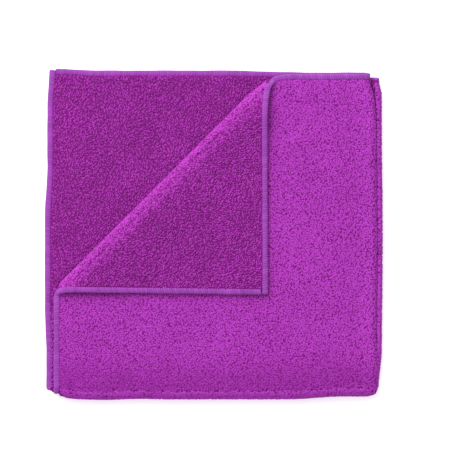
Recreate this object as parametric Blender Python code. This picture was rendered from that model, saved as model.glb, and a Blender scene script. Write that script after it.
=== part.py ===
"""A square quick dry towel folded in quarters, with one corner of the top ply turned back.

The cloth is one sheet with pile on both faces and an overlocked edge. It is modelled as flat panels
joined by fold rolls, and the edge as straight hem runs joined by hem turns. Each hem is a channel of
thread that wraps the bare ground cloth at the panel's edge. The lower half lies on the table, the
upper half opens about the bottom fold, and the turned corner opens about its crease.

Metres, +Z up. X runs towards the side folds, Y towards the top hems, and the origin is the middle of
the underside.
"""

import math

import bmesh
import bpy
from mathutils import Matrix, Vector

# Folded towel
width = 0.3030  # outermost left hem to outermost side fold
depth = 0.2970  # outermost top hem to outermost bottom fold
cloth = 0.0036  # one ply with the pile of both its faces
ground = 0.0012  # the woven ground cloth between the two piles
gap = 0.0003  # clearance between touching pieces

# Overlocked edge
hem_width = 0.0054
hem_sink = 0.0003  # its thread lies this far inside the tips of the pile on either face
hem_height = cloth - 2 * hem_sink
hem_back = 0.0018  # solid thread outside the raw edge of the cloth

# How far each ply's edges lie inside the overall outline
left_insets = {"lower_outer": 0.0065, "lower_inner": 0.0050, "upper_inner": 0.0, "upper_outer": 0.0075}
top_insets = {"lower_outer": 0.0080, "lower_inner": 0.0070, "upper_inner": 0.0, "upper_outer": 0.0043}
upper_side_fold_inset = 0.0076
inner_fold_setback = 0.0020  # the inner bottom fold lies this far inside the middle of the outer one

# Turned corner
crease_offset = 0.0856  # the crease axis is the line Y = X + crease_offset
corner_tip = Vector((0.0488, -0.0544))
side_hem_lean = math.radians(0.45)  # the corner's side hem leans away from Y by this
end_hem_lean = math.radians(0.7)  # and its end hem leans away from X by this

smooth_below = math.radians(40)  # facets that turn by less than this are shaded as one
fold_steps = 16  # flat facets round each half turn
crease_steps = 40  # and round the crease, whose ends slide much further
arc_steps = 6  # flat facets round a hem's outer side

plies = ["lower_outer", "lower_inner", "upper_inner", "upper_outer"]
pitch = cloth + gap
fold_radius = pitch / 2  # of the middle of the cloth where neighbouring plies join

left_x = {ply: -width / 2 + left_insets[ply] for ply in plies}
top_y = {ply: depth / 2 - top_insets[ply] for ply in plies}
middle_z = {ply: cloth / 2 + level * pitch for level, ply in enumerate(plies)}
flap_z = middle_z["upper_outer"] + pitch

outer_radius = (middle_z["upper_outer"] - middle_z["lower_outer"]) / 2
hinge_z = middle_z["lower_outer"] + outer_radius
hinge_y = -depth / 2 + outer_radius + cloth / 2
inner_y = hinge_y + inner_fold_setback
crease_z = middle_z["upper_outer"] + fold_radius

lower_side_x = width / 2 - fold_radius - cloth / 2
upper_side_x = lower_side_x - upper_side_fold_inset
side_x = {"lower": lower_side_x, "upper": upper_side_x}
bottom_y = {"lower_outer": hinge_y, "lower_inner": inner_y, "upper_inner": inner_y, "upper_outer": hinge_y}

crease_along = Vector((-1, -1)).normalized()
crease_outwards = Vector((-1, 1)).normalized()

pile_colour = (0.46, 0.045, 0.56)
thread_colour = (0.40, 0.085, 0.52)


def clear_scene():
    for item in list(bpy.data.objects):
        bpy.data.objects.remove(item, do_unlink=True)


def make_collection(name):
    collection = bpy.data.collections.new(name)
    bpy.context.scene.collection.children.link(collection)
    return collection


def fabric(name, colour, roughness):
    material = bpy.data.materials.new(name)
    material.use_nodes = True
    shader = material.node_tree.nodes["Principled BSDF"]
    shader.inputs["Base Color"].default_value = (*colour, 1)
    shader.inputs["Roughness"].default_value = roughness
    shader.inputs["Metallic"].default_value = 0
    return material


def finish_part(item, collection, body, colour, roughness):
    item.data.materials.append(fabric(item.name + "_fabric", colour, roughness))
    collection.objects.link(item)
    item.parent = body
    item.matrix_parent_inverse = body.matrix_world.inverted()


def add_pile(item, body):
    finish_part(item, towel, body, pile_colour, 0.95)


def add_thread(item, body):
    finish_part(item, towel, body, thread_colour, 0.7)


def body_frame(name, location, parent=None):
    """An empty on a body's joint axis."""
    frame = bpy.data.objects.new(name, None)
    towel.objects.link(frame)
    frame.location = location
    frame.parent = parent
    if parent:
        frame.matrix_parent_inverse = Matrix.Translation(-Vector(parent.location))
    bpy.context.view_layer.update()
    return frame


def extruded(name, outline, thickness):
    """A flat outline in local XY, as thick as thickness along local Z, centred, as a mesh object."""
    curve = bpy.data.curves.new(name, "CURVE")
    curve.dimensions = "2D"
    curve.fill_mode = "BOTH"
    curve.extrude = thickness / 2
    spline = curve.splines.new("POLY")
    spline.points.add(len(outline) - 1)
    for point, (x, y) in zip(spline.points, outline):
        point.co = (x, y, 0, 1)
    spline.use_cyclic_u = True
    guide = bpy.data.objects.new(name + "_curve", curve)
    mesh = bpy.data.meshes.new_from_object(guide)
    mesh.name = name
    bpy.data.objects.remove(guide)
    weld(mesh)
    return bpy.data.objects.new(name, mesh)


def weld(mesh):
    shape = bmesh.new()
    shape.from_mesh(mesh)
    bmesh.ops.remove_doubles(shape, verts=shape.verts, dist=1e-6)
    bmesh.ops.recalc_face_normals(shape, faces=shape.faces)
    shape.to_mesh(mesh)
    shape.free()


def crossing(a, along_a, b, along_b):
    """Where two lines in the plane meet, each given by a point and a direction."""
    across = along_a.x * along_b.y - along_a.y * along_b.x
    away = b - a
    return a + along_a * ((away.x * along_b.y - away.y * along_b.x) / across)


def inset_outline(corners, insets):
    """The outline with the side that starts at each corner moved inwards by that corner's inset."""
    sides = []
    for start, end, inset in zip(corners, corners[1:] + corners[:1], insets):
        along = (end - start).normalized()
        sides.append((start + Vector((-along.y, along.x)) * inset, along))
    return [crossing(*sides[i - 1], *sides[i]) for i in range(len(sides))]


def hem_profile(lean=1.0):
    """The hem's section as (distance inwards from its outer edge, height), with the slot for the cloth.
    lean stretches the distances, for a hem that is crossed at an angle."""
    radius = hem_height / 2
    slot = ground / 2 + gap
    turns = [math.pi / 2 + math.pi * step / arc_steps for step in range(arc_steps + 1)]
    outer = [(radius + radius * math.cos(turn), radius * math.sin(turn)) for turn in turns]
    inner = [(hem_width, -radius), (hem_width, -slot), (hem_back, -slot)]
    mirrored = [(distance, -height) for distance, height in reversed(inner)]
    return [(distance * lean, height) for distance, height in outer + inner + mirrored]


def hem_run(name, start, end, height, ends):
    """A straight hem from start to end, with the cloth on its left, trimmed by the planes in ends:
    (a point, the direction that points off the hem)."""
    along = (end - start).normalized()
    inwards = Vector((-along.y, along.x))
    spare = 4 * hem_width  # left over at either end for the planes to trim
    run = extruded(name, hem_profile(), (end - start).length + 2 * spare)
    middle = (start + end) / 2
    up = Vector((0, 0, 1))
    inwards3 = Vector((inwards.x, inwards.y, 0))
    turned = Matrix((inwards3, up, inwards3.cross(up))).transposed().to_4x4()
    run.matrix_world = Matrix.Translation((middle.x, middle.y, height)) @ turned
    shape = bmesh.new()
    shape.from_mesh(run.data)
    shape.transform(run.matrix_world)
    for point, off in ends:
        cut = bmesh.ops.bisect_plane(
            shape,
            geom=shape.verts[:] + shape.edges[:] + shape.faces[:],
            plane_co=(point.x, point.y, height),
            plane_no=(off.x, off.y, 0),
            clear_outer=True,
        )
        rim = [part for part in cut["geom_cut"] if isinstance(part, bmesh.types.BMEdge)]
        bmesh.ops.edgeloop_fill(shape, edges=rim)
    bmesh.ops.recalc_face_normals(shape, faces=shape.faces)
    shape.transform(run.matrix_world.inverted())
    shape.to_mesh(run.data)
    shape.free()
    return run


def panel(name, corners, kinds, height):
    """One flat ply. kinds says whether each side is hemmed or ends at a fold, where it stays clear."""
    full = {"hem": hem_width + gap, "fold": gap}
    bare = {"hem": hem_back + gap, "fold": gap}
    core = extruded(name, inset_outline(corners, [full[kind] for kind in kinds]), cloth)
    tongue = extruded(name + "_tongue", inset_outline(corners, [bare[kind] for kind in kinds]), ground)
    core.location.z = height
    tongue.location.z = height
    helpers.objects.link(tongue)
    tongue.hide_render = True
    tongue.display_type = "WIRE"
    joined = core.modifiers.new("tongue", "BOOLEAN")
    joined.operation = "UNION"
    joined.object = tongue
    return core


def swept(name, section, centre, along, start_shift, end_shift, steps=fold_steps):
    """A section swept half a turn about the line through centre, from the top, downwards.
    The section is (place along the line, distance from it). Over the sweep it slides along the line,
    by start_shift at the place of its first point and by end_shift at that of its second."""
    shape = bmesh.new()
    face = shape.faces.new([shape.verts.new((place, distance, 0)) for place, distance in section])
    bmesh.ops.spin(
        shape,
        geom=[face] + face.edges[:] + face.verts[:],
        cent=(0, 0, 0),
        axis=(1, 0, 0),
        angle=math.pi,
        steps=steps,
    )
    low, high = section[0][0], section[1][0]
    for vertex in shape.verts:
        turned = math.atan2(max(vertex.co.z, 0), vertex.co.y) / math.pi
        share = min(max((vertex.co.x - low) / (high - low), 0), 1)
        vertex.co.x += turned * (start_shift + (end_shift - start_shift) * share)
    bmesh.ops.recalc_face_normals(shape, faces=shape.faces)
    mesh = bpy.data.meshes.new(name)
    shape.to_mesh(mesh)
    shape.free()
    mesh.shade_smooth()
    mesh.set_sharp_from_angle(angle=smooth_below)
    roll = bpy.data.objects.new(name, mesh)
    along3 = Vector((along[0], along[1], 0))
    up = Vector((0, 0, 1))
    turned = Matrix((along3, up, along3.cross(up))).transposed().to_4x4()
    roll.matrix_world = Matrix.Translation(centre) @ turned
    return roll


def cloth_section(low, high, radius, low_hem=False, high_hem=False, lean=1.0):
    """The cloth's section for a fold from low to high, at radius, with a tongue where an end is hemmed."""
    full = (hem_width + gap) * lean
    bare = (hem_back + gap) * lean
    inner, outer = radius - cloth / 2, radius + cloth / 2
    under, over = radius - ground / 2, radius + ground / 2
    start = low + full if low_hem else low
    end = high - full if high_hem else high
    section = [(start, inner), (end, inner)]
    if high_hem:
        section += [(end, under), (high - bare, under), (high - bare, over), (end, over)]
    section += [(end, outer), (start, outer)]
    if low_hem:
        section += [(start, over), (low + bare, over), (low + bare, under), (start, under)]
    return section


def nose_section():
    """The section of the double edge where the side fold turns round the bottom fold."""
    turns = [math.pi * step / fold_steps - math.pi / 2 for step in range(fold_steps + 1)]
    outer = fold_radius + cloth / 2
    inner = fold_radius - cloth / 2
    rim = [(outer * math.cos(turn), pitch + outer * math.sin(turn)) for turn in turns]
    slot = [(inner * math.cos(turn), pitch + inner * math.sin(turn)) for turn in reversed(turns)]
    return rim + slot


def ply_corners(ply, half):
    """A whole ply's corners, from the bottom left round to the top left, and its middle's height."""
    left, right = left_x[ply], side_x[half]
    bottom, top = bottom_y[ply], top_y[ply]
    corners = [(left, bottom), (right, bottom), (right, top), (left, top)]
    return [Vector(corner) for corner in corners], middle_z[ply]


def square_ply(ply, half, body):
    """A whole ply: its panel, its left hem right up to the corner, and its top hem butted against that."""
    corners, height = ply_corners(ply, half)
    below, _, top, left = corners
    add_pile(panel(ply + "_panel", corners, ["fold", "fold", "hem", "hem"], height), body)
    left_ends = [(left, Vector((0, 1))), (below + Vector((0, gap)), Vector((0, -1)))]
    add_thread(hem_run("left_hem_" + ply, left, below, height, left_ends), body)
    beside_left = left + Vector((hem_width + gap, 0))
    top_ends = [(top - Vector((gap, 0)), Vector((1, 0))), (beside_left, Vector((-1, 0)))]
    add_thread(hem_run("top_hem_" + ply, top, left, height, top_ends), body)


def turned_ply(ply, half, body):
    """The top ply, which ends at the crease where its corner is turned back."""
    corners, height = ply_corners(ply, half)
    below, side, top, left = corners
    crease_top = Vector((top.y - crease_offset, top.y))
    crease_left = Vector((left.x, left.x + crease_offset))
    outline = [below, side, top, crease_top, crease_left]
    add_pile(panel(ply + "_panel", outline, ["fold", "fold", "hem", "fold", "hem"], height), body)
    at_crease = (crease_left - crease_outwards * gap, crease_outwards)
    left_ends = [at_crease, (below + Vector((0, gap)), Vector((0, -1)))]
    add_thread(hem_run("left_hem_" + ply, crease_left, below, height, left_ends), body)
    top_ends = [at_crease, (top - Vector((gap, 0)), Vector((1, 0)))]
    add_thread(hem_run("top_hem_" + ply, top, crease_top, height, top_ends), body)
    return crease_top, crease_left


def corner_outline():
    """The turned corner: where its end hem leaves the crease, its tip, and where its side hem meets the
    crease."""
    on_crease = Vector((0, crease_offset))
    side_along = Vector((-math.sin(side_hem_lean), math.cos(side_hem_lean)))
    end_along = Vector((-math.cos(end_hem_lean), math.sin(end_hem_lean)))
    side_end = crossing(corner_tip, side_along, on_crease, crease_along)
    end_start = crossing(corner_tip, end_along, on_crease, crease_along)
    return [end_start, corner_tip, side_end]


def turned_corner(body):
    """The corner that lies face down on its own ply. Its side hem runs right to the tip."""
    outline = corner_outline()
    end_start, tip, side_end = outline
    add_pile(panel("corner_panel", outline, ["hem", "hem", "fold"], flap_z), body)
    at_crease = (Vector((0, crease_offset)) - crease_outwards * gap, crease_outwards)
    along_end = (tip - end_start).normalized()
    along_side = (side_end - tip).normalized()
    side_inwards = Vector((-along_side.y, along_side.x))
    side_ends = [at_crease, (tip, -along_side)]
    add_thread(hem_run("corner_hem_side", tip, side_end, flap_z, side_ends), body)
    end_ends = [at_crease, (tip + side_inwards * (hem_width + gap), -side_inwards)]
    add_thread(hem_run("corner_hem_end", end_start, tip, flap_z, end_ends), body)


def crease(crease_top, crease_left, body):
    """The roll of cloth and hem at the crease, from the corner above to the ply below."""
    end_start, _, side_end = corner_outline()
    places = [crease_along.dot(point) for point in (side_end, end_start, crease_top, crease_left)]
    side_place, end_place, top_place, left_place = places
    foot = crease_outwards * crease_outwards.dot(Vector((0, crease_offset)))
    centre = (foot.x, foot.y, crease_z)
    top_slide, left_slide = top_place - side_place, left_place - end_place
    lean = math.sqrt(2)
    section = cloth_section(side_place, end_place, fold_radius, True, True, lean)
    roll = swept("corner_crease", section, centre, crease_along, top_slide, left_slide, crease_steps)
    add_pile(roll, body)
    profile = hem_profile(lean)
    section = [(side_place + distance, fold_radius + height) for distance, height in profile]
    top_turn = swept(
        "crease_hem_turn_top", section, centre, crease_along, top_slide, top_slide, crease_steps
    )
    add_thread(top_turn, body)
    section = [(end_place - distance, fold_radius + height) for distance, height in profile]
    left_turn = swept(
        "crease_hem_turn_left", section, centre, crease_along, left_slide, left_slide, crease_steps
    )
    add_thread(left_turn, body)


def side_fold(half, upper_ply, lower_ply, body):
    """The fold that joins a half's two plies at the side, and the top hem that goes round it."""
    centre = (side_x[half], 0, (middle_z[upper_ply] + middle_z[lower_ply]) / 2)
    slide = top_y[lower_ply] - top_y[upper_ply]
    section = cloth_section(hinge_y + gap, top_y[upper_ply], fold_radius, high_hem=True)
    add_pile(swept(half + "_side_fold", section, centre, (0, 1), 0, slide), body)
    section = [(top_y[upper_ply] - distance, fold_radius + height) for distance, height in hem_profile()]
    add_thread(swept("top_hem_turn_" + half, section, centre, (0, 1), slide, slide), body)


def bottom_fold(name, upper_ply, lower_ply, line_y, radius, end_x, body):
    """The fold that joins an upper ply to a lower one, and the left hem that goes round it."""
    centre = (0, line_y, hinge_z)
    slide = left_x[lower_ply] - left_x[upper_ply]
    side_slide = side_x["lower"] - side_x["upper"]
    section = cloth_section(left_x[upper_ply], end_x, radius, low_hem=True)
    add_pile(swept("bottom_fold_" + name, section, centre, (1, 0), slide, side_slide), body)
    section = [(left_x[upper_ply] + distance, radius + height) for distance, height in hem_profile()]
    add_thread(swept("left_hem_turn_" + name, section, centre, (1, 0), slide, slide), body)


def fold_nose(body):
    """The double edge where the side fold goes round the bottom fold."""
    section = [(side_x["upper"] + place, distance) for place, distance in nose_section()]
    slide = side_x["lower"] - side_x["upper"]
    add_pile(swept("fold_nose", section, (0, hinge_y, hinge_z), (1, 0), slide, slide), body)


clear_scene()
towel = make_collection("quick_dry_towel")
helpers = make_collection("tongues")

lower_half = body_frame("lower_half", (0, 0, 0))
upper_half = body_frame("upper_half", (0, hinge_y, hinge_z), lower_half)
crease_foot = crease_outwards * crease_outwards.dot(Vector((0, crease_offset)))
corner_flap = body_frame("corner_flap", (crease_foot.x, crease_foot.y, crease_z), upper_half)

square_ply("lower_outer", "lower", lower_half)
square_ply("lower_inner", "lower", lower_half)
side_fold("lower", "lower_inner", "lower_outer", lower_half)
bottom_fold("outer", "upper_outer", "lower_outer", hinge_y, outer_radius, side_x["upper"] - gap, lower_half)
# The inner fold turns sooner than the nose beside it, so it starts half their slide further in.
inner_end = side_x["upper"] - gap - upper_side_fold_inset / 2
bottom_fold("inner", "upper_inner", "lower_inner", inner_y, fold_radius, inner_end, lower_half)
fold_nose(lower_half)

square_ply("upper_inner", "upper", upper_half)
crease_ends = turned_ply("upper_outer", "upper", upper_half)
side_fold("upper", "upper_outer", "upper_inner", upper_half)
crease(*crease_ends, upper_half)

turned_corner(corner_flap)
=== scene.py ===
import math
import bpy
import numpy as np
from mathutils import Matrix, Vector


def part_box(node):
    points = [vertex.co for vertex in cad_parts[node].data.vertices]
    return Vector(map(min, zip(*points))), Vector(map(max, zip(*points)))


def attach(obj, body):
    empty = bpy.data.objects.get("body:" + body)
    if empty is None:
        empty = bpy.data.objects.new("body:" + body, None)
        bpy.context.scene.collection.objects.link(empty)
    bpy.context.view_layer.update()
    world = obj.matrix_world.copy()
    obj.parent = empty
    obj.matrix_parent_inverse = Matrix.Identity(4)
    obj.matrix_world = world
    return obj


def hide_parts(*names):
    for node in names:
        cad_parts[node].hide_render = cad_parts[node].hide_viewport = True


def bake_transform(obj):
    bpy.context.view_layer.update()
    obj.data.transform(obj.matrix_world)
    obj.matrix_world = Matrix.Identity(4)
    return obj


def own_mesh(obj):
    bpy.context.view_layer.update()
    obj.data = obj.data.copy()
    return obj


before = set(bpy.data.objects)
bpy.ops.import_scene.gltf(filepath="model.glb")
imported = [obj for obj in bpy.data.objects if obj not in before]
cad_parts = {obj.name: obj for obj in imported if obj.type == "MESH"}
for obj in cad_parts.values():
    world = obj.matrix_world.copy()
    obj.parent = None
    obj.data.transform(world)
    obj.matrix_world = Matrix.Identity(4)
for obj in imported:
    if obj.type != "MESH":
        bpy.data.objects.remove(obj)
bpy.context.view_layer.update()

mm = 0.001
pi = math.pi
root2 = math.sqrt(2)
creaseOffset = 85.6  # the corner's hinge line is y = x + this

# the plies, from the top one down: 0 upper outer, 1 upper inner, 2 lower inner, 3 lower outer
plies = ["upper_outer", "upper_inner", "lower_inner", "lower_outer"]


def nodeBox(node):
    low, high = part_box(node)
    return np.array(low) / mm, np.array(high) / mm


def middleHeight(node):
    low, high = nodeBox(node)
    return low[2] / 2 + high[2] / 2


middleZ = [middleHeight(ply + "_panel") for ply in plies]
leftX = [nodeBox("left_hem_" + ply)[0][0] for ply in plies]
topY = [nodeBox("top_hem_" + ply)[1][1] for ply in plies]
flapZ = middleHeight("corner_panel")
upperSide, lowerSide = nodeBox("upper_side_fold")[0][0], nodeBox("lower_side_fold")[0][0]
hingeY = nodeBox("bottom_fold_outer")[1][1]
hingeZ = (middleZ[0] + middleZ[3]) / 2
rollRadius = (middleZ[0] - middleZ[1]) / 2
rollLength = pi * rollRadius

crease = {
    "along": np.array([-1, -1]) / root2,  # down the crease, from its top end to its left end
    "across": np.array([-1, 1]) / root2,  # off the towel
    "place": creaseOffset / root2,  # of the hinge line, across
    "pliesEnds": (-143.4, 143.1),  # where the top ply's edges meet the hinge line, along it
    "slides": (-14.8, 9.0),  # how much further along the top ply's ends are than the corner's
    # how much of the slide is done by each distance through the roll, at the top end and the left end
    "slideTop": ((-8, -4, 0, 3, 6.1, 10, 16, 24), (0, 0.06, 0.2, 0.41, 0.62, 0.8, 0.93, 1)),
    "slideLeft": ((-0.5, 0, 3, 6.1, 9, 14), (0, 0.03, 0.5, 0.85, 0.95, 1)),
    "rise": 4.5,  # the corner's free edge stands this much off near the top end
    "riseReach": 22.0,
    "riseAway": 16.0,
    "riseOver": 14.0,
    "leftRise": 0.9,
    "leftReach": 14.0,
    "puff": 1.7,  # the corner swells this much beside the crease
    "puffUp": 11.0,  # the swelling is full this far from the crease
    "puffDown": 42.0,  # and gone this much further on
    "puffLead": 3.0,
    "swell": 2.7,  # the roll stands out this much further between its ends
    "swellFrom": (4.0, 36.0),  # from the top end, where it starts and where it is full
    "swellTo": (4.0, 12.0),  # the same from the left end
    "hemTuck": (3.0, 0.3),  # the hem goes round this much tighter than the cloth, top end and left end
    "hemTilt": 0.7,
    "flattened": 0.36,  # meant as the share of its folded height at which the opened corner lies flat; not used
}
corner = {"tip": (48.8, -54.4), "sideLean": 0.2, "endLean": 0.7}
hem = {
    "width": 5.4,
    "half": 1.62,
    "rib": 2.1,
    "ribDepth": 0.12,
    "slant": 0.22,
    "squareness": 0.72,
    "step": 0.3,
    "round": 16,
    "capRound": 1.3,
    "foldTuck": (2.4, 3.7),  # how much tighter than the cloth the left hem goes round the bottom folds
}
cloth = {"half": 1.05, "roughSize": 7.0, "rough": 0.08}
hingeClear = 0.5  # between neighbours that meet when a fold is open


def smooth(t):
    t = np.clip(t, 0, 1)
    return t * t * (3 - 2 * t)


# 0 up to start, then 1 a reach further on
def ramp(value, start, reach):
    return smooth((value - start) / reach)


def mix(a, b, t):
    return a + (b - a) * t


def waves(x, y, size, seed, count=6):
    chance = np.random.default_rng(seed)
    total = 0
    for _ in range(count):
        turn, phase = chance.uniform(0, 2 * pi, 2)
        pace = 2 * pi / (size * chance.uniform(0.7, 1.6))
        total = total + np.sin(pace * (x * math.cos(turn) + y * math.sin(turn)) + phase)
    return total / math.sqrt(count)


# how the folded towel has settled on the table

settled = {
    "undulation": 0.45,
    "undulationSize": 85.0,
    "undulationSeed": 11,
    "sideDrop": 0.07,  # share of its height that the towel loses by the side folds
    "bottomDrop": 0.1,  # share of its height that the towel loses by the bottom fold
    "cornerRound": 12.0,
    "spread": 4.0,  # the upper side fold moves out this much at the bottom fold
    "topDraw": 3.2,  # and in this much at the top edge
    "innerBow": 0.3,  # the bottom edge bows this share as much on the inner plies
    "roundCentre": (148.6, -147.2),  # the sharp corner that the bottom right corner is rounded from
}
# where each edge's own shape begins, and the reach over which it comes in fully
edgeReach = {"left": (60, 80), "right": (70, 75), "top": (80, 62), "bottom": (70, 70), "foldDrop": (96, 54)}

# how each edge bows: what it starts from, then each stretch's amount, direction, start and reach
bows = {
    "left": (-0.8, (2.2, 1, 12, 50), (2.0, 1, 112, 38), (1.3, -1, 62, 45)),
    "top": (0.6, (-1.5, 1, -142, 34), (-1.8, 1, 8, 80)),
    "right": (0.8, (-2.0, 1, 127, 8), (-2.8, -1, 106, 34)),
    "bottom": (0.0, (2.6, 1, 66, 52), (1.8, -1, 126, 14)),
}
rightWave = {"height": 0.45, "size": 38.0, "middle": -5.0}
bottomWave = {"height": 0.5, "size": 11.5, "middle": -10.0, "from": 20.0, "over": 60.0, "down": 0.7}


def bow(edge, along):
    start, *stretches = bows[edge]
    return start + sum(amount * ramp(way * along, begin, reach) for amount, way, begin, reach in stretches)


def rightBow(y):
    wave = rightWave["height"] * np.cos((y - rightWave["middle"]) / rightWave["size"])
    return bow("right", y) + wave


def bottomBow(x):
    wave = bottomWave["height"] * np.sin((x - bottomWave["middle"]) / bottomWave["size"])
    wave = wave * ramp(-x, bottomWave["from"], bottomWave["over"]) - bottomWave["down"]
    return bow("bottom", x) + wave * ramp(x, -150, 20)


# share[:, k] says how far each point belongs to ply k
def settle(points, share):
    x, y, z = points[:, 0].copy(), points[:, 1].copy(), points[:, 2].copy()
    nearLeft = ramp(-x, *edgeReach["left"])
    nearRight = ramp(x, *edgeReach["right"])
    nearTop = ramp(y, *edgeReach["top"])
    nearBottom = ramp(-y, *edgeReach["bottom"])
    innerPly = share[:, 1]
    x2 = x + bow("left", y) * nearLeft * innerPly + rightBow(y) * nearRight
    outerPlies = share[:, 0] + share[:, 3]
    bowed = mix(settled["innerBow"], 1, np.maximum(outerPlies, ramp(-x, 143, 4)))
    y2 = y + bow("top", x) * nearTop * innerPly + bottomBow(x) * nearBottom * bowed
    upperPlies = share[:, 0] + share[:, 1]
    sideways = settled["spread"] * ramp(-y, 92, 45) - settled["topDraw"] * ramp(y, 100, 45)
    x2 = x2 + sideways * upperPlies * ramp(x, 100, 45)
    # the bottom right corner is round
    radius = settled["cornerRound"]
    cx, cy = settled["roundCentre"][0] - radius, settled["roundCentre"][1] + radius
    p, q = np.clip((x2 - cx) / radius, 0, 1.3), np.clip((cy - y2) / radius, 0, 1.3)
    x2, y2 = (
        x2 - radius * p * (1 - np.sqrt(1 - np.minimum(q, 1) ** 2 / 2)),
        y2 + radius * q * (1 - np.sqrt(1 - np.minimum(p, 1) ** 2 / 2)),
    )
    drop = settled["bottomDrop"] * ramp(-y, *edgeReach["foldDrop"]) ** 1.3
    drop = drop + settled["sideDrop"] * ramp(x, 122, 30) * upperPlies
    rolling = waves(x, y, settled["undulationSize"], settled["undulationSeed"]) * settled["undulation"]
    z2 = z * (1 - drop) + rolling * np.clip(z / 15, 0, 1.2)
    return np.stack([x2, y2, z2], 1)


def creaseFrame(x, y):
    return -(x + y) / root2, (y - x) / root2


def fromCrease(a, b):
    return -(a + b) / root2, (b - a) / root2


def slideAt(a):
    start, end = crease["pliesEnds"]
    return mix(*crease["slides"], np.clip((a - start) / (end - start), 0, 1))


# 0 on the top ply, 1 on the turned corner; c is the way across the crease through the cloth
def turnShare(a, c):
    start, end = crease["pliesEnds"]
    atTop, atLeft = np.interp(c, *crease["slideTop"]), np.interp(c, *crease["slideLeft"])
    return mix(atTop, atLeft, ramp(a, start, end - start))


def rise(a, b):
    topEnd, leftEnd = (end - slide for end, slide in zip(crease["pliesEnds"], crease["slides"]))
    away = crease["place"] - b
    fromEdge = (a - topEnd - crease["riseAway"]) ** 2 + (away - crease["riseAway"]) ** 2
    top = crease["rise"] * np.exp(-fromEdge / crease["riseReach"] ** 2) * ramp(away, -1, crease["riseOver"])
    left = crease["leftRise"] * np.exp(-((a - leftEnd) ** 2 + away**2) / crease["leftReach"] ** 2)
    puff = crease["puff"] * ramp(away, -crease["puffLead"], crease["puffUp"])
    return top + left + puff * (1 - ramp(away, crease["puffUp"], crease["puffDown"]))


def swellAt(u):
    start, end = crease["pliesEnds"]
    (a, b), (c, d) = crease["swellFrom"], crease["swellTo"]
    return crease["swell"] * ramp(u - start, a, b - a) ** 0.7 * ramp(end - u, c, d - c)


# the top ply follows the slide of the crease where it comes near it
def slidTopPly(points):
    a, b = creaseFrame(points[:, 0], points[:, 1])
    a = a - slideAt(a) * turnShare(a, b - crease["place"])
    x, y = fromCrease(a, b)
    return np.stack([x, y, points[:, 2]], 1)


def slidCorner(points):
    a, b = creaseFrame(points[:, 0], points[:, 1])
    plyA = np.array(a)
    for _ in range(3):
        plyA = a + slideAt(plyA)
    lifted = points[:, 2] + rise(a, b)
    a = a + slideAt(plyA) * (1 - turnShare(plyA, rollLength + crease["place"] - b))
    x, y = fromCrease(a, b)
    return np.stack([x, y, lifted], 1)


def onPly(k, count):
    share = np.zeros((count, 4))
    share[:, k] = 1
    return share


# meshes

tableClear = 0.03


def makeMesh(name, points, faces, material, attributes=None):
    mesh = bpy.data.meshes.new(name)
    count, size = faces.shape
    mesh.vertices.add(len(points))
    points = np.column_stack([points[:, :2], np.maximum(points[:, 2], tableClear)])
    mesh.vertices.foreach_set("co", (points * mm).astype(np.float32).ravel())
    mesh.loops.add(count * size)
    mesh.loops.foreach_set("vertex_index", faces.astype(np.int32).ravel())
    mesh.polygons.add(count)
    mesh.polygons.foreach_set("loop_start", np.arange(count, dtype=np.int32) * size)
    for key, values in (attributes or {}).items():
        layer = mesh.attributes.new(key, "FLOAT", "POINT")
        layer.data.foreach_set("value", np.asarray(values, np.float32))
    mesh.update(calc_edges=True)
    mesh.validate()
    mesh.shade_smooth()
    mesh.materials.append(material)
    item = bpy.data.objects.new(name, mesh)
    bpy.context.scene.collection.objects.link(item)
    return item


def gridFaces(rows, columns):
    index = np.arange(rows * columns).reshape(rows, columns)
    return np.stack([index[:-1, :-1], index[:-1, 1:], index[1:, 1:], index[1:, :-1]], -1).reshape(-1, 4)


# a thin closed sheet between two grids of points, face and back
def closedSheet(name, face, back, material, rows, columns):
    count = rows * columns
    front = gridFaces(rows, columns)
    rear = front[:, ::-1] + count
    index = np.arange(count).reshape(rows, columns)
    rim = np.concatenate([index[0, :-1], index[:-1, -1], index[-1, :0:-1], index[:0:-1, 0]])
    following = np.roll(rim, -1)
    walls = np.stack([following, rim, rim + count, following + count], 1)
    points = np.concatenate([face, back])
    return makeMesh(name, points, np.concatenate([front, rear, walls]), material)


def unit(vectors):
    return vectors / np.maximum(np.linalg.norm(vectors, axis=1, keepdims=True), 1e-9)


# a surface through the middle of the cloth: at(u, v) gives points, the outward normals and shares
class Shell:

    nudge = 0.3

    def __init__(self, at):
        self.at = at

    def laid(self, u, v, off=0.0, side=1):
        points, normals, share = self.at(u, v)
        return settle(points + normals * np.reshape(side * off, (-1, 1)), share)

    # settled points in the cloth, with two tangents and their true normals
    def tangents(self, u, v, side):
        here = self.laid(u, v, 0.0)
        alongU = self.laid(u + self.nudge, v) - here
        alongV = self.laid(u, v + self.nudge) - here
        up = self.laid(u, v, self.nudge, side) - here
        alongU, up = unit(alongU), unit(up)
        alongV = unit(alongV - up * (alongV * up).sum(1, keepdims=True))
        alongU = unit(alongU - up * (alongU * up).sum(1, keepdims=True))
        return here, alongU, alongV, up


sideFold = {
    "upperSwell": 2.4,  # the upper side fold stands out this much further than a half circle
    "lowerPuff": 4.4,  # the lower one rises this much where nothing lies on it
    "lowerPuffFrom": 3.0,
    "lowerPuffOver": 4.5,
}


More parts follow.
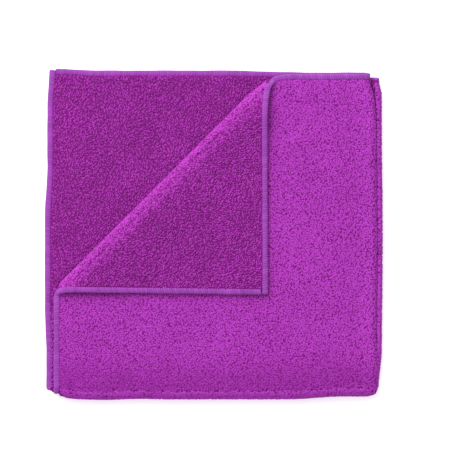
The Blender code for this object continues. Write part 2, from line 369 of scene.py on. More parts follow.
# a half's two plies and the side fold between them. u is 0 where the outer ply meets the fold
def halfSection(upper, u):
    outer, inner = (0, 1) if upper else (3, 2)
    side = upperSide if upper else lowerSide
    sign = 1 if upper else -1
    turn = np.clip(u / rollLength, 0, 1)
    angle = pi * turn
    reach = rollRadius + (sideFold["upperSwell"] if upper else 0)
    x = side + np.where(u < 0, u, reach * np.sin(angle)) - np.maximum(u - rollLength, 0)
    middle = (middleZ[outer] + middleZ[inner]) / 2
    z = middle + sign * rollRadius * np.cos(angle)
    if not upper:
        shown = smooth((x - upperSide - sideFold["lowerPuffFrom"]) / sideFold["lowerPuffOver"])
        z = z + sideFold["lowerPuff"] * shown * np.clip((z - middle) / rollRadius, 0, 1)
    normal = np.stack([np.sin(angle), 0 * u, sign * np.cos(angle)], 1)
    share = np.zeros((len(u), 4))
    share[:, outer], share[:, inner] = 1 - turn, turn
    return x, z, normal, share, turn


def halfShell(upper):
    def at(u, y):
        x, z, normal, share, _ = halfSection(upper, u)
        points = np.stack([x, y, z], 1)
        if upper:
            points = np.where((u <= 0)[:, None], slidTopPly(points), points)
        return points, normal, share

    return Shell(at)


# both bottom folds and the nose: u as in halfSection, v is the turn from the upper half to the lower
def bottomShell():
    def at(u, v):
        upperX, upperZ, upperNormal, upperShare, _ = halfSection(True, u)
        lowerX, _, _, lowerShare, _ = halfSection(False, u)
        radius = upperZ - hingeZ
        beyond = (np.maximum(-v, 0) + np.maximum(v - 1, 0)) * pi * radius  # flat cloth past the roll
        v = np.clip(v, 0, 1)
        angle = pi * v
        x = mix(upperX, lowerX, v)
        y = hingeY - radius * np.sin(angle) + beyond
        z = hingeZ + radius * np.cos(angle)
        normal = np.stack(
            [upperNormal[:, 0], -upperNormal[:, 2] * np.sin(angle), upperNormal[:, 2] * np.cos(angle)], 1
        )
        share = mix(upperShare, lowerShare, np.reshape(v, (-1, 1)))
        return np.stack([x, y, z], 1), normal, share

    return Shell(at)


# the turned corner: u is x and v is y, and its upper side is the back of the cloth
def cornerShell():
    def at(u, v):
        points = slidCorner(np.stack([u, v, np.full(len(u), flapZ)], 1))
        normal = np.zeros_like(points)
        normal[:, 2] = 1
        return points, normal, onPly(0, len(u))

    return Shell(at)


# the roll at the crease: u runs along it in the top ply's own places, v turns from that ply to the corner
def creaseShell():
    def at(u, v):
        a = u - slideAt(u) * turnShare(u, v * rollLength)
        beyond = (np.maximum(-v, 0) + np.maximum(v - 1, 0)) * rollLength  # flat cloth past the roll
        v = np.clip(v, 0, 1)
        angle = pi * v
        lift = rise(u - slideAt(u), crease["place"])
        b = crease["place"] + (rollRadius + swellAt(u)) * np.sin(angle) - beyond
        z = middleZ[0] + (rollRadius + lift / 2) * (1 - np.cos(angle))
        x, y = fromCrease(a, b)
        normal = np.stack(
            [np.sin(angle) * crease["across"][0], np.sin(angle) * crease["across"][1], -np.cos(angle)], 1
        )
        return np.stack([x, y, z], 1), normal, onPly(0, len(u))

    return Shell(at)


# looks

# a socket that can be used in arithmetic
class Link:

    def __init__(self, tree, socket):
        self.tree, self.socket = tree, socket

    def maths(self, operation, first, second):
        node = self.tree.nodes.new("ShaderNodeMath")
        node.operation = operation
        for slot, value in enumerate((first, second)):
            if isinstance(value, Link):
                self.tree.links.new(value.socket, node.inputs[slot])
            else:
                node.inputs[slot].default_value = value
        return Link(self.tree, node.outputs[0])

    def __add__(self, other):
        return self.maths("ADD", self, other)

    def __radd__(self, other):
        return self.maths("ADD", other, self)

    def __sub__(self, other):
        return self.maths("SUBTRACT", self, other)

    def __rsub__(self, other):
        return self.maths("SUBTRACT", other, self)

    def __mul__(self, other):
        return self.maths("MULTIPLY", self, other)

    def __rmul__(self, other):
        return self.maths("MULTIPLY", other, self)

    def __pow__(self, other):
        return self.maths("POWER", self, other)


# a material with one Principled shader
class Look:

    def __init__(self, name, **values):
        self.material = bpy.data.materials.new(name)
        self.material.use_nodes = True
        self.tree = self.material.node_tree
        self.shader = self.tree.nodes["Principled BSDF"]
        self.put(self.shader, values)

    def put(self, node, values):
        for key, value in values.items():
            socket = node.inputs[key.replace("_", " ") if isinstance(key, str) else key]
            if isinstance(value, Link):
                self.tree.links.new(value.socket, socket)
            else:
                socket.default_value = value

    def node(self, kind, settings=None, sockets=None, output=0):
        node = self.tree.nodes.new("ShaderNode" + kind)
        for key, value in (settings or {}).items():
            if key == "stops":
                for index, (place, colour) in enumerate(value):
                    stops = node.color_ramp.elements
                    stop = stops[index] if index < len(stops) else stops.new(place)
                    stop.position, stop.color = place, colour
            else:
                setattr(node, key, value)
        self.put(node, sockets or {})
        return Link(self.tree, node.outputs[output])

    def blend(self, share, first, second, kind="MIX"):
        return self.node("Mix", {"data_type": "RGBA", "blend_type": kind}, {0: share, 6: first, 7: second}, 2)

    def finish(self, **values):
        self.put(self.shader, values)
        return self.material


# linear colour from 0 to 255 values
def rgb(red, green, blue):
    straight = [c / 255 for c in (red, green, blue)]
    return tuple(c / 12.92 if c <= 0.04045 else ((c + 0.055) / 1.055) ** 2.4 for c in straight) + (1.0,)


def pileLook(name, tip, root, shine, paintedRootShade, lift, paintedPitShade):
    look = Look(name, Roughness=0.88, Sheen_Weight=shine, Sheen_Roughness=0.45, Specular_IOR_Level=0.12)
    look.put(look.shader, {"Sheen Tint": tip})
    place = look.node("TexCoord", output=3)
    cloudy = look.node("TexNoise", {}, {"Vector": place, "Scale": 34.0, "Detail": 2.0})
    speckle = look.node("TexNoise", {}, {"Vector": place, "Scale": 900.0, "Detail": 1.0})
    tone = look.node("Attribute", {"attribute_name": "tone"}, output=2)
    height = look.node("Attribute", {"attribute_name": "height"}, output=2)
    # painted shade: a fine noise paints dark pits among the grains
    pitShade = look.node("TexNoise", {}, {"Vector": place, "Scale": 640.0, "Detail": 1.0})
    limits = {"From Min": 0.34, "From Max": 0.46, "To Min": paintedPitShade, "To Max": 0.0}
    pitShade = look.node("MapRange", {}, {"Value": pitShade, **limits})
    # painted shade: each grain darkens towards its root; tone, cloudy and speckle vary the colour at random
    light = height * paintedRootShade + tone * 0.30 + cloudy * 0.30 + speckle * 0.12 + lift - pitShade
    return look.finish(Base_Color=look.blend(light, root, tip))


def threadLook(name, light, dark):
    look = Look(name, Roughness=0.62, Sheen_Weight=0.15, Sheen_Roughness=0.4, Specular_IOR_Level=0.25)
    place = look.node("TexCoord", output=3)
    cloudy = look.node("TexNoise", {}, {"Vector": place, "Scale": 55.0, "Detail": 2.0})
    tone = look.node("Attribute", {"attribute_name": "tone"}, output=2)
    height = look.node("Attribute", {"attribute_name": "height"}, output=2)
    # painted shade: the thread darkens in the valleys between its ribs, by their height; tone and cloudy vary it
    # at random
    bright = height * 0.45 + tone * 0.35 + cloudy * 0.5 - 0.18
    return look.finish(Base_Color=look.blend(bright, dark, light))


def groundLook(name, colour, shade):
    look = Look(name, Roughness=0.95, Specular_IOR_Level=0.05)
    place = look.node("TexCoord", output=3)
    knots = look.node("TexNoise", {}, {"Vector": place, "Scale": 700.0, "Detail": 2.0})
    return look.finish(Base_Color=look.blend(knots, shade, colour))


# painted shade: the root colours are dark for the shade down among the grains, and each grain is blended towards
# them by height
facePile = pileLook("facePile", rgb(179, 65, 189), rgb(132, 34, 136), 0.10, 0.35, 0.0, 0.42)
backPile = pileLook("backPile", rgb(180, 62, 185), rgb(94, 16, 90), 0.08, 0.58, -0.17, 0.6)
hemThread = threadLook("hemThread", rgb(152, 62, 170), rgb(104, 30, 118))
# painted shade: the cloth under the grains is coloured darker than them, for the shade down among the grains; the
# knots vary it at random
faceGround = groundLook("faceGround", rgb(124, 28, 124), rgb(100, 18, 98))

print("looks ready")


# cloth

pieces = {}


def sheetPiece(name, shell, us, vs, material, body=None, reverse=False):
    rows, columns = us.shape
    u, v = us.ravel(), vs.ravel()
    rough = waves(u, v, cloth["roughSize"], 5) * cloth["rough"]
    face = shell.laid(u, v, cloth["half"] + rough)
    back = shell.laid(u, v, cloth["half"] + rough, -1)
    if reverse:
        face, back = back, face
    item = closedSheet(name, face, back, material, rows, columns)
    if body:
        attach(item, body)
    pieces[name] = item
    return item


hemLap = 2.6  # the cloth reaches this far into its hem from the outer edge


# where the outer ply of a half starts, as u, at height y
def outerStart(upper, y):
    if not upper:
        return np.full_like(y, leftX[3] + hemLap - lowerSide)
    edge = np.full_like(y, leftX[0] + hemLap)
    return np.maximum(edge, y - creaseOffset) - upperSide


def halfSheet(name, upper):
    outer, inner = (0, 1) if upper else (3, 2)
    side = upperSide if upper else lowerSide
    lastU = rollLength + side - (leftX[inner] + hemLap)
    up = np.linspace(0, 1, 72)[:, None]
    # across the section: the outer ply, the roll from 0.49 to 0.51 and the inner ply
    rollFrom, rollTo = 0.49, 0.51
    across = np.concatenate([
        np.linspace(0, 0.485, 66), np.linspace(rollFrom, rollTo, 9), np.linspace(0.515, 1, 66)
    ])
    turn = np.clip((across - rollFrom) / (rollTo - rollFrom), 0, 1)
    top = mix(topY[outer], topY[inner], turn) - hemLap
    ys = mix(hingeY + hingeClear * turn, top, up)
    onOuter = outerStart(upper, ys) * (1 - across / rollFrom)
    onInner = mix(rollLength, lastU, (across - rollTo) / (1 - rollTo))
    us = np.where(across < rollFrom, onOuter, np.where(across <= rollTo, turn * rollLength, onInner))
    body = "upper_half" if upper else "lower_half"
    return sheetPiece(name, halfShell(upper), us, ys, faceGround, body, reverse=upper)


upperCloth = halfSheet("upperCloth", True)
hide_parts("upper_outer_panel", "upper_side_fold", "upper_inner_panel")
lowerCloth = halfSheet("lowerCloth", False)
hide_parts("lower_outer_panel", "lower_side_fold", "lower_inner_panel")

# the bottom folds: one strip round the outside and the nose, one round the inside
bottom = bottomShell()
noseSpan = (-4.0, rollLength + 4.0)
noseBlend = (4.0, 11.3)
innerBlend = (middleZ[2] + 0.5, middleZ[1] - 0.5)
rollLap = 0.4  # a small roll's sheet runs on over the flat cloth by this share of its turn


def foldStrip(name, start, end, count, zLow, zHigh, nodes, lap=0.0):
    us, vs = np.meshgrid(np.linspace(start, end, count), np.linspace(-lap, 1 + lap, 23))
    item = sheetPiece(name, bottom, us, vs, faceGround, reverse=True)
    zLow * mm
    zHigh * mm
    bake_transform(item)
    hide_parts(*nodes)


foldStrip("outerFold", leftX[0] + hemLap - upperSide, noseSpan[0], 80, middleZ[3], middleZ[0],
          ["bottom_fold_outer"])
foldStrip("foldNose", *noseSpan, 26, *noseBlend, ["fold_nose"])
foldStrip("innerFold", noseSpan[1], rollLength + upperSide - leftX[1] - hemLap, 80, *innerBlend,
          ["bottom_fold_inner"], rollLap)

# the turned corner
tipX, tipY = corner["tip"]
sideLean, endLean = (math.tan(math.radians(corner[k])) for k in ("sideLean", "endLean"))


# rows from the hinge line to the side hem, inside the hems by inset
def cornerGrid(inset, rows, columns):
    lowY = tipY + inset
    s = np.linspace(0, 1, rows)[:, None]
    t = np.linspace(0, 1, columns)[None, :]
    # the side edge as x at y, and the y at which it meets the hinge line
    topYHere = (tipX - inset + sideLean * tipY + creaseOffset) / (1 + sideLean)
    y = lowY + (topYHere - lowY) * s + 0 * t
    right = tipX - inset - sideLean * (y - tipY)
    left = y - creaseOffset
    x = mix(left, right, t)
    y = y + (tipX - x) * endLean * (1 - s)
    return np.maximum(x, y - creaseOffset), y


us, vs = cornerGrid(hemLap, 48, 48)
cornerCloth = sheetPiece("cornerCloth", cornerShell(), us, vs, faceGround, "corner_flap", reverse=True)
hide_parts("corner_panel")

roll = creaseShell()
creaseInset = hemLap * root2
us, vs = np.meshgrid(
    np.linspace(crease["pliesEnds"][0] + creaseInset, crease["pliesEnds"][1] - creaseInset, 110),
    np.linspace(0, 1, 21),
)
creaseCloth = sheetPiece("creaseCloth", roll, us, vs, faceGround)
# from the corner to the top ply, since a half turn blended the other way round comes out inside out
creaseBlend = ((0, 0, flapZ * mm), (0, 0, middleZ[0] * mm))
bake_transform(creaseCloth)
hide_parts("corner_crease")
print("cloth ready")


# hems: a chain of points down the middle of the hem, with the cloth's normal and its plies

def flatRun(start, end, z, k, up, slid=None):
    start, end = np.array(start, float), np.array(end, float)
    count = max(3, int(np.linalg.norm(end - start) / hem["step"]) + 1)
    flat = start + (end - start) * np.linspace(0, 1, count)[:, None]
    points = np.column_stack([flat, np.full(count, z)])
    if slid:
        points = slid(points)
    normals = np.tile([0.0, 0, up], (count, 1))
    return settle(points, onPly(k, count)), normals


# runs end to end, softened where they meet; returns points, normals and where each run ends
def joinRuns(runs, wideFrom=None):
    points = np.concatenate([run[0] for run in runs])
    normals = np.concatenate([run[1] for run in runs])
    ends = np.cumsum([len(run[0]) for run in runs])

    def soften(values, reach):
        kernel = np.exp(-np.linspace(-2, 2, 2 * reach + 1) ** 2)
        kernel /= kernel.sum()
        padded = np.concatenate([
            2 * values[0] - values[reach:0:-1], values, 2 * values[-1] - values[-2:-reach - 2:-1]
        ])
        return np.stack([np.convolve(padded[:, i], kernel, "valid") for i in range(values.shape[1])], 1)

    last = len(points) if wideFrom is None else (ends[wideFrom - 1] + ends[wideFrom]) // 2
    points, normals = (
        np.concatenate([soften(values, 9)[:last], soften(values, 26)[last:]]) for values in (points, normals)
    )
    normals /= np.linalg.norm(normals, axis=1, keepdims=True)
    return points, normals, ends


# a ribbed hem along part of a chain; whole is the run of arc length over the chain
def hemPiece(name, points, normals, whole, seed, capStart=True, capEnd=True):
    tangents = np.gradient(points, axis=0)
    tangents /= np.linalg.norm(tangents, axis=1, keepdims=True)
    side = np.cross(normals, tangents)
    side /= np.linalg.norm(side, axis=1, keepdims=True)
    up = np.cross(tangents, side)
    chance = np.random.default_rng(seed)
    turns = np.linspace(0, 2 * pi, hem["round"], endpoint=False)
    q = np.sign(np.cos(turns)) * np.abs(np.cos(turns)) ** hem["squareness"] * hem["width"] / 2
    h = np.sign(np.sin(turns)) * np.abs(np.sin(turns)) ** hem["squareness"] * hem["half"]
    phase = (whole[:, None] + hem["slant"] * q[None, :] + 0.25 * np.sin(whole / 7.0)[:, None]) / hem["rib"]
    rib = np.abs(np.sin(pi * phase)) ** 0.8
    table = chance.random(4096)
    each = table[np.floor(phase).astype(int) % len(table)]
    width = 1 + 0.035 * np.sin(whole / 9.0 + seed) + 0.02 * np.sin(whole / 3.7)
    swell = 1 - hem["ribDepth"] + hem["ribDepth"] * 1.6 * rib + 0.05 * (each - 0.5)
    ends = np.ones(len(whole))
    along = whole - whole[0]
    back = whole[-1] - whole
    if capStart:
        ends = np.minimum(ends, np.sqrt(np.clip((along + 0.12) / hem["capRound"], 0, 1)))
    if capEnd:
        ends = np.minimum(ends, np.sqrt(np.clip((back + 0.12) / hem["capRound"], 0, 1)))
    sideways = q[None, :] * width[:, None] * mix(1, swell, 0.3) * mix(0.55, 1, ends)[:, None]
    upwards = h[None, :] * swell * ends[:, None]
    shape = points[:, None, :] + (
        side[:, None, :] * sideways[..., None]
        + up[:, None, :] * upwards[..., None]
    )
    rows, columns = shape.shape[:2]
    index = np.arange(rows * columns).reshape(rows, columns)
    following = np.roll(index, -1, axis=1)
    faces = np.stack([index[:-1], following[:-1], following[1:], index[1:]], -1).reshape(-1, 4)
    vertices = shape.reshape(-1, 3)
    hub = np.full(columns, rows * columns)
    caps = [np.stack([hub, following[0], index[0]], 1), np.stack([hub + 1, index[-1], following[-1]], 1)]
    vertices = np.concatenate([vertices, [points[0], points[-1]]])
    tone = np.concatenate([each.ravel(), [0.5, 0.5]])
    # the ribs' height, which the thread's look turns into painted shade in the valleys
    height = np.concatenate([rib.ravel(), [0.3, 0.3]])
    triangles = np.concatenate([faces[:, [0, 1, 2]], faces[:, [0, 2, 3]], *caps])
    item = makeMesh(name, vertices, triangles, hemThread, {"tone": tone, "height": height})
    pieces[name] = item
    return item


def arcLength(points):
    return np.concatenate([[0], np.cumsum(np.linalg.norm(np.diff(points, axis=0), axis=1))])


# parts: (name, first run, last run, body or blend, nodes)
def chainPieces(chain, parts, seed):
    points, normals, ends = chain
    whole = arcLength(points)
    starts = [0, *ends[:-1]]
    for name, first, last, rides, nodes in parts:
        begin = max(starts[first] - 1, 0)
        stop = ends[last]
        item = hemPiece(name, points[begin:stop], normals[begin:stop], whole[begin:stop], seed,
                        capStart=starts[first] == 0, capEnd=ends[last] == len(points))
        if isinstance(rides, str):
            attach(item, rides)
        else:
            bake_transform(item)
        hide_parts(*nodes)


halfWidth = hem["width"] / 2
hemGap = -0.1  # from the left hem to the start of a top hem
leftHemShort = 0.9  # the left hem ends this far below the top one


def sideTurn(upper):
    outer, inner = (0, 1) if upper else (3, 2)
    turn = np.linspace(1, 0, 24)[1:-1]
    x, z, normal, share, _ = halfSection(upper, turn * rollLength)
    y = mix(topY[outer], topY[inner], turn) - halfWidth
    return settle(np.stack([x, y, z], 1), share), normal


# the hem round the crease at u, in the top ply's places; from that ply to the corner
def creaseTurn(u, tuck, reverse=False):
    v = np.linspace(0, 1, 46)[1:-1]
    if reverse:
        v = v[::-1]
    points, normals, share = roll.at(np.full(len(v), u), v)
    outward = np.sin(pi * v)[:, None] * np.append(crease["across"], 0)
    normals = outward * crease["hemTilt"] + [0, 0, 1]
    return settle(points - tuck * outward, share), normals


# the left hem round a bottom fold, from ply k down
def bottomTurn(k):
    other = 3 - k
    v = np.linspace(0, 1, 40 if k == 0 else 18)[1:-1]
    angle = pi * v
    radius = middleZ[k] - hingeZ
    x = mix(leftX[k], leftX[other], v) + halfWidth
    y = hingeY - (radius - hem["foldTuck"][k]) * np.sin(angle)
    z = hingeZ + radius * np.cos(angle)
    sign = 1 if k == 0 else -1
    normal = sign * np.stack([0 * v, -np.sin(angle), np.cos(angle)], 1)
    share = mix(onPly(k, len(v)), onPly(other, len(v)), v[:, None])
    return settle(np.stack([x, y, z], 1), share), normal


hingeTopX = topY[0] - halfWidth - creaseOffset  # where the top ply's two hems reach the hinge line
hingeLeftY = leftX[0] + halfWidth + creaseOffset
sideRunTop = (tipX - halfWidth + sideLean * tipY + creaseOffset) / (1 + sideLean)
endRunLeft = (tipY + halfWidth + endLean * tipX - creaseOffset) / (1 + endLean)
inCrease = ("corner_flap", "upper_half", *creaseBlend)
inBottomOuter = ("lower_half", "upper_half", (0, 0, middleZ[3] * mm), (0, 0, middleZ[0] * mm))
inBottomInner = ("lower_half", "upper_half", (0, 0, middleZ[2] * mm), (0, 0, middleZ[1] * mm))


def sideRunX(y):
    return tipX - halfWidth - sideLean * (y - tipY)


def endRunY(x):
    return tipY + halfWidth + endLean * (tipX - x)


def creasePlace(x, y):
    return creaseFrame(x, y)[0]


topChain = joinRuns([
    flatRun((leftX[1] + hem["width"] + hemGap, topY[1] - halfWidth), (upperSide, topY[1] - halfWidth),
            middleZ[1], 1, -1),
    sideTurn(True),
    flatRun((upperSide, topY[0] - halfWidth), (hingeTopX, topY[0] - halfWidth), middleZ[0], 0, 1, slidTopPly),
    creaseTurn(creasePlace(hingeTopX, topY[0] - halfWidth), crease["hemTuck"][0]),
    flatRun((sideRunX(sideRunTop), sideRunTop), (sideRunX(tipY), tipY + 0.2), flapZ, 0, 1, slidCorner),
], 2)
chainPieces(topChain, [
    ("upperTopHem", 0, 2, "upper_half",
     ["top_hem_upper_inner", "top_hem_turn_upper", "top_hem_upper_outer"]),
    ("creaseTopHem", 3, 3, inCrease, ["crease_hem_turn_top"]),
    ("cornerSideHem", 4, 4, "corner_flap", ["corner_hem_side"]),
], 3)

leftChain = joinRuns([
    flatRun((tipX - hem["width"] - 0.5, endRunY(tipX)), (endRunLeft, endRunY(endRunLeft)),
            flapZ, 0, 1, slidCorner),
    creaseTurn(creasePlace(leftX[0] + halfWidth, hingeLeftY), crease["hemTuck"][1], True),
    flatRun((leftX[0] + halfWidth, hingeLeftY), (leftX[0] + halfWidth, hingeY), middleZ[0], 0, 1, slidTopPly),
    bottomTurn(0),
    flatRun((leftX[3] + halfWidth, hingeY), (leftX[3] + halfWidth, topY[3]), middleZ[3], 3, -1),
])
chainPieces(leftChain, [
    ("cornerEndHem", 0, 0, "corner_flap", ["corner_hem_end"]),
    ("creaseLeftHem", 1, 1, inCrease, ["crease_hem_turn_left"]),
    ("upperLeftHemOuter", 2, 2, "upper_half", ["left_hem_upper_outer"]),
    ("leftHemFoldOuter", 3, 3, inBottomOuter, ["left_hem_turn_outer"]),
    ("lowerLeftHemOuter", 4, 4, "lower_half", ["left_hem_lower_outer"]),
], 5)

innerChain = joinRuns([
    flatRun((leftX[1] + halfWidth, topY[1] - leftHemShort), (leftX[1] + halfWidth, hingeY), middleZ[1], 1, -1),
    bottomTurn(1),
    flatRun((leftX[2] + halfWidth, hingeY), (leftX[2] + halfWidth, topY[2]), middleZ[2], 2, 1),
])
chainPieces(innerChain, [
    ("upperLeftHemInner", 0, 0, "upper_half", ["left_hem_upper_inner"]),
    ("leftHemFoldInner", 1, 1, inBottomInner, ["left_hem_turn_inner"]),
    ("lowerLeftHemInner", 2, 2, "lower_half", ["left_hem_lower_inner"]),
], 7)

lowerChain = joinRuns([
    flatRun((leftX[2] + hem["width"] + hemGap, topY[2] - halfWidth), (lowerSide, topY[2] - halfWidth),
            middleZ[2], 2, 1),
    sideTurn(False),
    flatRun((lowerSide, topY[3] - halfWidth), (leftX[3] + hem["width"] + hemGap, topY[3] - halfWidth),
            middleZ[3], 3, -1),
])
chainPieces(lowerChain, [
    ("lowerTopHem", 0, 2, "lower_half",
     ["top_hem_lower_inner", "top_hem_turn_lower", "top_hem_lower_outer"]),
], 9)
print("hems ready")


# pile: short grains of yarn standing on the cloth

def grainShape(length, width, height, pitch, lean, swing, missing):
    return {"length": length, "width": width, "height": height, "pitch": pitch, "lean": lean, "swing": swing,
            "missing": missing}


facePileShape = grainShape(2.65, 2.2, 0.8, (1.61, 1.5), 0.15, 0.6, 0.05)
insidePileShape = grainShape(3.0, 2.6, 0.8, (1.9, 1.78), 0.15, 0.6, 0.04)
backPileShape = grainShape(3.1, 1.75, 1.2, (2.05, 1.7), 0.28, 0.45, 0.07)
bandPileShape = grainShape(2.5, 2.0, 0.9, (1.5, 1.35), 0.15, 0.5, 0.02)

# half a grain: a ring on the cloth, a ring at its waist and two points on its ridge
ring = [(-0.5, 0), (-0.25, -0.5), (0.25, -0.5), (0.5, 0), (0.25, 0.5), (-0.25, 0.5)]
grain = np.array([(x, y, -0.25) for x, y in ring] + [(-0.2, 0, 1), (0.2, 0, 1)])
grainFaces = np.array([
    (0, 1, 6), (1, 2, 7), (1, 7, 6), (2, 3, 7), (3, 4, 7), (4, 5, 6), (4, 6, 7), (5, 0, 6)
])


def jitteredPlaces(lowU, highU, lowV, highV, shape, seed):
    pitch, missing = shape["pitch"], shape["missing"]
    chance = np.random.default_rng(seed)
    countU, countV = int((highU - lowU) / pitch[0]) + 1, int((highV - lowV) / pitch[1]) + 1
    u, v = np.meshgrid(np.arange(countU), np.arange(countV))
    u = lowU + (u + 0.5 * (v % 2) + chance.uniform(-0.4, 0.4, u.shape)) * pitch[0]
    v = lowV + (v + chance.uniform(-0.4, 0.4, v.shape)) * pitch[1]
    there = chance.random(u.shape) >= missing
    return u[there], v[there], chance


# grains at u, v. flow gives each grain's direction as an angle from the u tangent
def plantPile(name, shell, u, v, side, shape, material, flow, chance, paintedShading=0.0):
    here, alongU, alongV, up = shell.tangents(u, v, side)
    turn = flow + chance.normal(0, shape["swing"], len(u))
    long = alongU * np.cos(turn)[:, None] + alongV * np.sin(turn)[:, None]
    wide = np.cross(up, long)
    lean = chance.normal(0, shape["lean"], (len(u), 2))
    tall = up + long * lean[:, :1] + wide * lean[:, 1:]
    size = chance.uniform(0.82, 1.18, (len(u), 3)) * [shape["length"], shape["width"], shape["height"]]
    base = here + up * (cloth["half"] - 0.15)
    points = (
        base[:, None, :]
        + long[:, None, :] * (grain[None, :, 0] * size[:, :1])[..., None]
        + wide[:, None, :] * (grain[None, :, 1] * size[:, 1:2])[..., None]
        + tall[:, None, :] * (grain[None, :, 2] * size[:, 2:3])[..., None]
    )
    faces = grainFaces[None] + (np.arange(len(u)) * len(grain))[:, None, None]
    # each grain's tone is random, shifted by the caller's painted light and shade
    tone = np.repeat(chance.random(len(u)) + paintedShading, len(grain))
    height = np.tile(np.clip(grain[:, 2], 0, 1), len(u))
    item = makeMesh(name, points.reshape(-1, 3), faces.reshape(-1, 3), material, {"tone": tone, "height": height})
    pieces[name] = item
    return item


def kept(mask, *arrays):
    return [array[mask] for array in arrays]


hemClear = hem["width"] + 0.3
rollLonger = {"upper": 1.75, "lower": 1.9, "crease": 2.5}  # the rolls' surfaces, against a plain half circle


# from places along a ply and its longer roll, to u
def alongSection(u, longer):
    return np.where(u < 0, u, np.where(u < rollLength * longer, u / longer, u - rollLength * (longer - 1)))


def topPlyPile():
    longer = rollLonger["upper"]
    u, v, chance = jitteredPlaces(leftX[0] - upperSide, rollLength * longer, hingeY, topY[0], facePileShape, 21)
    u = alongSection(u, longer)
    x = upperSide + np.minimum(u, 0)
    top = mix(topY[0], topY[1], np.clip(u / rollLength, 0, 1))
    inside = (x > leftX[0] + hemClear) & (v < top - hemClear) & (v > hingeY)
    inside &= v - x < creaseOffset - hingeClear * 2
    u, v = kept(inside, u, v)
    flow = pi / 2 + 0.35 * waves(u, v, 60, 31)
    # painted light and shade: the pile is lighter round the side fold and darker down the slope to the bottom fold
    paintedLightAndShade = 0.45 * smooth((u + 18) / 18) - 1.25 * smooth((-102 - v) / 38)
    item = plantPile("topPile", halfShell(True), u, v, 1, facePileShape, facePile, flow, chance, paintedLightAndShade)
    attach(item, "upper_half")


# the face of the two inner plies, which shows when the bottom fold is open
def innerPlyPile(name, upper, seed):
    inner = 1 if upper else 2
    side = upperSide if upper else lowerSide
    far = rollLength + side - leftX[inner]
    longer = 1 if upper else rollLonger["lower"]
    near, far = rollLength if upper else 0.0, far + rollLength * (longer - 1)
    u, v, chance = jitteredPlaces(near, far, hingeY, topY[inner], insidePileShape, seed)
    u = alongSection(u, longer)
    x = side - np.maximum(u - rollLength, 0)
    outer = 0 if upper else 3
    turn = np.clip(u / rollLength, 0, 1)
    top = mix(topY[outer], topY[inner], turn)
    inside = (x > leftX[inner] + hemClear) & (v < top - hemClear) & (v > hingeY)
    u, v = kept(inside, u, v)
    flow = pi / 2 + 0.35 * waves(u, v, 60, seed + 1)
    # painted light: the pile is lighter near the side fold
    item = plantPile(name, halfShell(upper), u, v, 1, insidePileShape, facePile, flow, chance,
                     0.05 * smooth((rollLength + 10 - u) / 8))
    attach(item, "upper_half" if upper else "lower_half")


# the back of the upper inner ply, where the turned corner leaves it bare
def shownInnerPile():
    far = rollLength + upperSide - leftX[1]
    u, v, chance = jitteredPlaces(rollLength, far, hingeY, topY[1], backPileShape, 51)
    x = upperSide - (u - rollLength)
    bare = (v - x > creaseOffset - 14) | (x < leftX[0] + 3)
    # painted light: strip raises the tone of the pile between the two left hems, which lies in shade there; it
    # also lets that pile reach nearer the hem
    strip = ramp(x - v, 6 - creaseOffset, 5)  # between the two left hems
    inside = bare & (x > leftX[1] + hemClear - 1.2 * strip) & (v < topY[1] - hemClear)
    u, v, strip = kept(inside, u, v, strip)
    flow = pi / 2 + 0.25 + 0.45 * waves(u, v, 45, 52)
    item = plantPile("innerPile", halfShell(True), u, v, -1, backPileShape, backPile, flow, chance, strip)
    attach(item, "upper_half")


# painted highlight: the pile's tone is raised where the cloth bends, and painted light raises it a little over the
# whole corner; the pile is also denser where the cloth bends
creaseBandAndPaintedLight = {"flap": 0.2, "tone": 0.42, "from": 1.0, "over": 10.0}


def cornerPile(name, side, shape, material, seed, band=None):
    u, v, chance = jitteredPlaces(-140, tipX, tipY, 130, shape, seed)
    inside = (u < tipX - sideLean * (v - tipY) - hemClear) & (v > tipY + endLean * (tipX - u) + hemClear)
    inside &= v - u < creaseOffset - hingeClear * 2
    away = crease["place"] - creaseFrame(u, v)[1]
    near = 1 - smooth((away - creaseBandAndPaintedLight["from"]) / creaseBandAndPaintedLight["over"])
    if band is not None:
        inside &= (chance.random(u.shape) < near) == band
    u, v, near = kept(inside, u, v, near)
    flow = 0.75 + 0.5 * waves(u, v, 50, seed + 1)
    # painted highlight along the crease and painted light over the whole corner
    item = plantPile(name, cornerShell(), u, v, side, shape, material, flow, chance,
                     creaseBandAndPaintedLight["flap"] + creaseBandAndPaintedLight["tone"] * near)
    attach(item, "corner_flap")


def creasePile(name, side, shape, material, seed, tone):
    start, end = crease["pliesEnds"]
    turned = rollLength * rollLonger["crease"]
    u, v, chance = jitteredPlaces(start + hemClear * root2, end - hemClear * root2, 0, turned, shape, seed)
    v = v / turned
    u, v = kept((v > 0) & (v < 1), u, v)
    item = plantPile(name, roll, u, v, side, shape, material, 0.3 + 0 * u, chance, tone)
    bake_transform(item)


def foldPile(name, start, end, zLow, zHigh, seed, radiusOut=middleZ[0] - hingeZ + 1.8):
    u, v, chance = jitteredPlaces(start, end, 0, pi * radiusOut, facePileShape, seed)
    v = v / (pi * radiusOut)
    u, v = kept((v > 0) & (v < 1) & (u > leftX[0] - upperSide + hemClear), u, v)
    item = plantPile(name, bottom, u, v, 1, facePileShape, facePile, 0.3 + 0 * u, chance)
    zLow * mm
    zHigh * mm
    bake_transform(item)


topPlyPile()
shownInnerPile()
cornerPile("cornerBackPile", 1, backPileShape, backPile, 61, False)
cornerPile("cornerBandPile", 1, bandPileShape, backPile, 63, True)
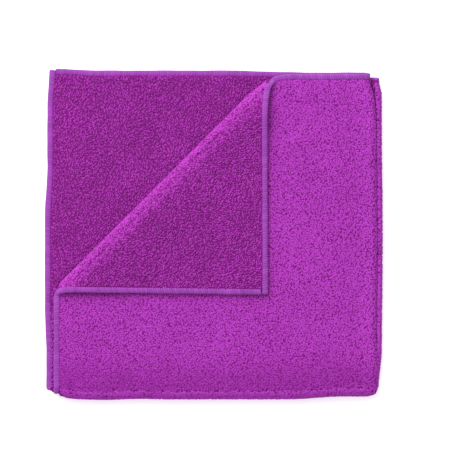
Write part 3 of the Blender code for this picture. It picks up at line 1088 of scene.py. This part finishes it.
# painted highlight: the crease roll's pile gets the full raised tone
creasePile("creasePile", 1, bandPileShape, backPile, 71, creaseBandAndPaintedLight["flap"] + creaseBandAndPaintedLight["tone"])
creasePile("creaseFacePile", -1, facePileShape, facePile, 73, 0)
foldPile("outerFoldPile", leftX[0] - upperSide, noseSpan[0], middleZ[3], middleZ[0], 81)
foldPile("nosePile", noseSpan[0], rollLength, *noseBlend, 83)
foldPile("innerFoldPile", noseSpan[1], rollLength + upperSide - leftX[1] - hemClear, *innerBlend, 85, 3.2)
innerPlyPile("lowerInnerPile", False, 91)
innerPlyPile("upperInnerPile", True, 93)
cornerPile("cornerFacePile", -1, facePileShape, facePile, 95)
faceSide = (0, 0, (flapZ - cloth["half"] - facePileShape["height"]) * mm)
for name in ("cornerCloth", "cornerBackPile", "cornerBandPile", "cornerFacePile", "cornerSideHem", "cornerEndHem"):
    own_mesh(pieces[name])
print("pile ready")


# what each sheet was cut to

def declare(flat, area=None):
    flat[0] * mm
    flat[1] * mm


acrossUpper = (upperSide - leftX[0]) + rollLength + (upperSide - leftX[1])
acrossLower = (lowerSide - leftX[3]) + rollLength + (lowerSide - leftX[2])
downUpper, downLower = topY[1] - hingeY, topY[2] - hingeY
cut = {
    "corner": (184.0, 184.0),
    "foldedOff": 201.5,  # side of the corner that the top ply lacks
    "creaseLong": 272.0,
    "outerFold": (281.0, 18.4),
    "nose": (14.1, 14.0),
    "innerFoldLong": 287.0,
}
smallRoll = rollLength * (1 + 2 * rollLap)
declare((acrossUpper, downUpper),
        area=(acrossUpper * downUpper - cut["foldedOff"] ** 2 / 2) * mm * mm)
declare((acrossLower, downLower))
declare(cut["corner"],
        area=cut["corner"][0] ** 2 / 2 * mm * mm)
declare((cut["creaseLong"], smallRoll))
declare(cut["outerFold"])
declare(cut["nose"])
declare((cut["innerFoldLong"], smallRoll))


# floor, light and camera

studio = {
    "middle": (11.0, 7.4),
    "span": 406.8,  # what the view takes in, at the towel's top
    "distance": 3000.0,
    "keyFrom": (-1090.0, 1840.0, 1790.0),
    "keySize": 2.0,
    "keyPower": 100.0,
    "sky": 0.80,
    "paperGlow": 0.35,
}
floorLook = Look("floorPaper", Base_Color=(0.93, 0.93, 0.93, 1), Roughness=0.9, Specular_IOR_Level=0.1,
                 Emission_Color=(1, 1, 1, 1), Emission_Strength=studio["paperGlow"])
bpy.ops.mesh.primitive_plane_add(size=12, location=(0, 0, -0.0002))
floor = bpy.context.object
floor.name = "floor"
floor.data.materials.append(floorLook.material)

world = bpy.data.worlds.new("studio")
bpy.context.scene.world = world
world.use_nodes = True
sky = world.node_tree.nodes["Background"]
sky.inputs["Color"].default_value = (1, 1, 1, 1)
sky.inputs["Strength"].default_value = studio["sky"]

keyData = bpy.data.lights.new("key", "AREA")
keyData.size = studio["keySize"]
keyData.energy = studio["keyPower"]
key = bpy.data.objects.new("key", keyData)
bpy.context.scene.collection.objects.link(key)
key.location = Vector(studio["keyFrom"]) * mm
key.rotation_euler = (Vector((0, 0, 0)) - key.location).to_track_quat("-Z", "Y").to_euler()

cameraData = bpy.data.cameras.new("camera")
cameraData.sensor_width = 36
cameraData.lens = 36 * (studio["distance"] - middleZ[0]) / studio["span"]
cameraData.clip_end = 20
camera = bpy.data.objects.new("camera", cameraData)
bpy.context.scene.collection.objects.link(camera)
camera.location = (studio["middle"][0] * mm, studio["middle"][1] * mm, studio["distance"] * mm)
bpy.context.scene.camera = camera
bpy.context.scene.view_settings.view_transform = "Standard"
print("studio ready")
